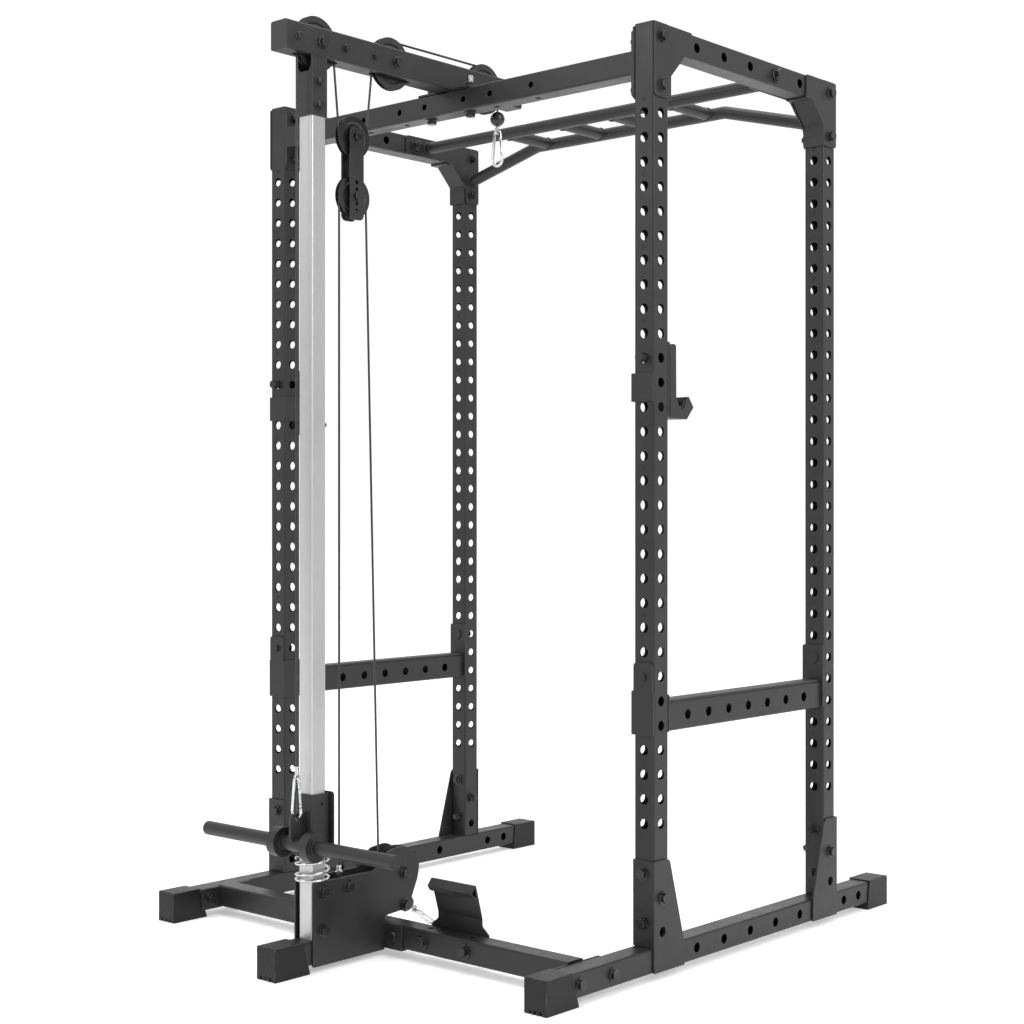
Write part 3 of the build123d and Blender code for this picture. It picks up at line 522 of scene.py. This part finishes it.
def bead(pts, r, closed=False, up=Vector((0, 0, 1))):
    n = len(pts)
    return tube_mesh(pts, r, 8, rfun=lambda i, an: r * (0.86 + 0.2 * abs(math.sin(i * 0.9)) + 0.06 * math.sin(i * 0.37 + an)), closed=closed, up=up)


def ring_pts(c, axis, R, n):
    out = []
    for k in range(n):
        an = tp * k / n
        if axis == "x":
            out.append(V(c[0], c[1] + R * math.cos(an), c[2] + R * math.sin(an)))
        elif axis == "y":
            out.append(V(c[0] + R * math.cos(an), c[1], c[2] + R * math.sin(an)))
    return out


def line_pts(a, b, step=1.6):
    A, B = V(*a), V(*b)
    n = max(2, int((B - A).length * 1000 / step))
    return [A + (B - A) * (i / n) for i in range(n + 1)]


welds = []
for s in (-1, 1):
    welds.append(bead(ring_pts((s * 535.6, 150, 1922), "x", 15.4, 60), 0.0022, True, Vector((1, 0, 0))))
    welds.append(bead(ring_pts((s * 535.6, 325, 1859.2), "x", 15.4, 60), 0.0022, True, Vector((1, 0, 0))))
    for x in (78, 255):
        welds.append(bead(ring_pts((s * x, 164.0, 1922), "y", 14.9, 56), 0.0019, True, Vector((0, 1, 0))))
        welds.append(bead(ring_pts((s * x, 311.0, 1922), "y", 14.9, 56), 0.0019, True, Vector((0, 1, 0))))
    welds.append(bead(line_pts((s * 25.3, -349, 1901.3), (s * 25.3, -301, 1901.3)), 0.0022))
v, f = join(welds)
add_obj("weld_beads_frame", v, f, FRAME, "root")
welds = []
for s in (-1, 1):
    welds.append(bead(ring_pts((s * 62.2, -787, 266), "x", 15.4, 60), 0.0019, True, Vector((1, 0, 0))))
    welds.append(bead(ring_pts((s * 37.8, -787, 266), "x", 15.4, 60), 0.0019, True, Vector((1, 0, 0))))
    welds.append(bead(line_pts((s * 24.0, -718.9, 246), (s * 24.0, -718.9, 366)), 0.0019))
    welds.append(bead(line_pts((s * 3.3, -769.2, 283), (s * 3.3, -769.2, 328)), 0.0017))
v, f = join(welds)
add_obj("weld_beads_carriage", v, f, FRAME, "carriage")

# ------------------------------------------------------------------ hole numbers, plain digits
tv, tf = [], []
for sx in (-1, 1):
    for yf in (-350.12, 299.88):
        for k in range(10):
            cu = bpy.data.curves.new("tmp_num", "FONT")
            cu.body = str(30 - 3 * k)
            cu.size = 0.012
            cu.align_x, cu.align_y = "CENTER", "CENTER"
            cu.extrude = 0.00008
            cu.resolution_u = 3
            to = bpy.data.objects.new("tmp_num", cu)
            bpy.context.scene.collection.objects.link(to)
            bpy.context.view_layer.update()
            me = bpy.data.meshes.new_from_object(to)
            M = Matrix.Translation(V(sx * 565, yf, 1766 + 25 - 150 * k)) @ Matrix.Rotation(math.radians(90), 4, "X")
            o = len(tv)
            tv += [M @ q.co for q in me.vertices]
            tf += [tuple(i + o for i in p.vertices) for p in me.polygons]
            bpy.data.objects.remove(to)
            bpy.data.curves.remove(cu)
            bpy.data.meshes.remove(me)
add_obj("hole_numbers", tv, tf, PRINT, "root", smooth=False)

# ------------------------------------------------------------------ floor, light, camera
me = bpy.data.meshes.new("floor")
S = 30.0
me.from_pydata([(-S, -S, 0), (S, -S, 0), (S, S, 0), (-S, S, 0)], [], [(0, 1, 2, 3)])
floor = bpy.data.objects.new("floor", me)
bpy.context.scene.collection.objects.link(floor)
m, nt, b = new_mat("pale_floor")
vec = coords(nt)
nt.links.new(ramp(nt, noise_n(nt, vec, 3.0), [(0.3, g(0.86)), (0.7, g(0.88))]), b.inputs["Base Color"])
b.inputs["Roughness"].default_value = 0.6
b.inputs["Emission Color"].default_value = (1.0, 1.0, 1.0, 1.0)
b.inputs["Emission Strength"].default_value = 0.34
me.materials.append(m)

w = bpy.data.worlds.new("studio")
bpy.context.scene.world = w
w.use_nodes = True
bg = w.node_tree.nodes["Background"]
bg.inputs[0].default_value = (1.0, 1.0, 1.0, 1.0)
# a white studio, a little softer on one side
wt = w.node_tree
tcw = wt.nodes.new("ShaderNodeTexCoord")
dw = wt.nodes.new("ShaderNodeVectorMath")
dw.operation = "DOT_PRODUCT"
dw.inputs[1].default_value = (-0.6625, 0.7491, 0.0)
wt.links.new(tcw.outputs["Generated"], dw.inputs[0])
mr = wt.nodes.new("ShaderNodeMapRange")
mr.inputs["From Min"].default_value = -0.45
mr.inputs["From Max"].default_value = 0.8
mr.inputs["To Min"].default_value = 0.8
mr.inputs["To Max"].default_value = 1.05
mr.interpolation_type = "SMOOTHSTEP"
wt.links.new(dw.outputs["Value"], mr.inputs["Value"])
wt.links.new(mr.outputs["Result"], bg.inputs[1])


def area(name, loc, target, size, power, sy=None):
    l = bpy.data.lights.new(name, "AREA")
    l.energy = power
    l.shape = "RECTANGLE"
    l.size = size
    l.size_y = sy or size
    o = bpy.data.objects.new(name, l)
    bpy.context.scene.collection.objects.link(o)
    o.location = loc
    o.rotation_euler = (Vector(target) - Vector(loc)).to_track_quat("-Z", "Y").to_euler()
    return o


area("key_light", (4.4, -0.4, 3.2), (0, 0, 1.0), 2.2, 95)
area("fill_light", (-1.8, -4.4, 3.4), (0, 0, 0.9), 2.2, 55)
area("top_light", (0.2, 0.2, 5.2), (0, 0, 0), 3.5, 110)

cam = bpy.data.cameras.new("camera")
cam.lens = 61.02
cam.sensor_width = 36.0
co = bpy.data.objects.new("camera", cam)
bpy.context.scene.collection.objects.link(co)
co.location = (2.7051327, -3.1752416 + Y0, 0.95175)
co.rotation_euler = (math.radians(90), 0, math.radians(41.492045))
bpy.context.scene.camera = co
bpy.context.scene.view_settings.view_transform = "Standard"

bpy.context.view_layer.update()
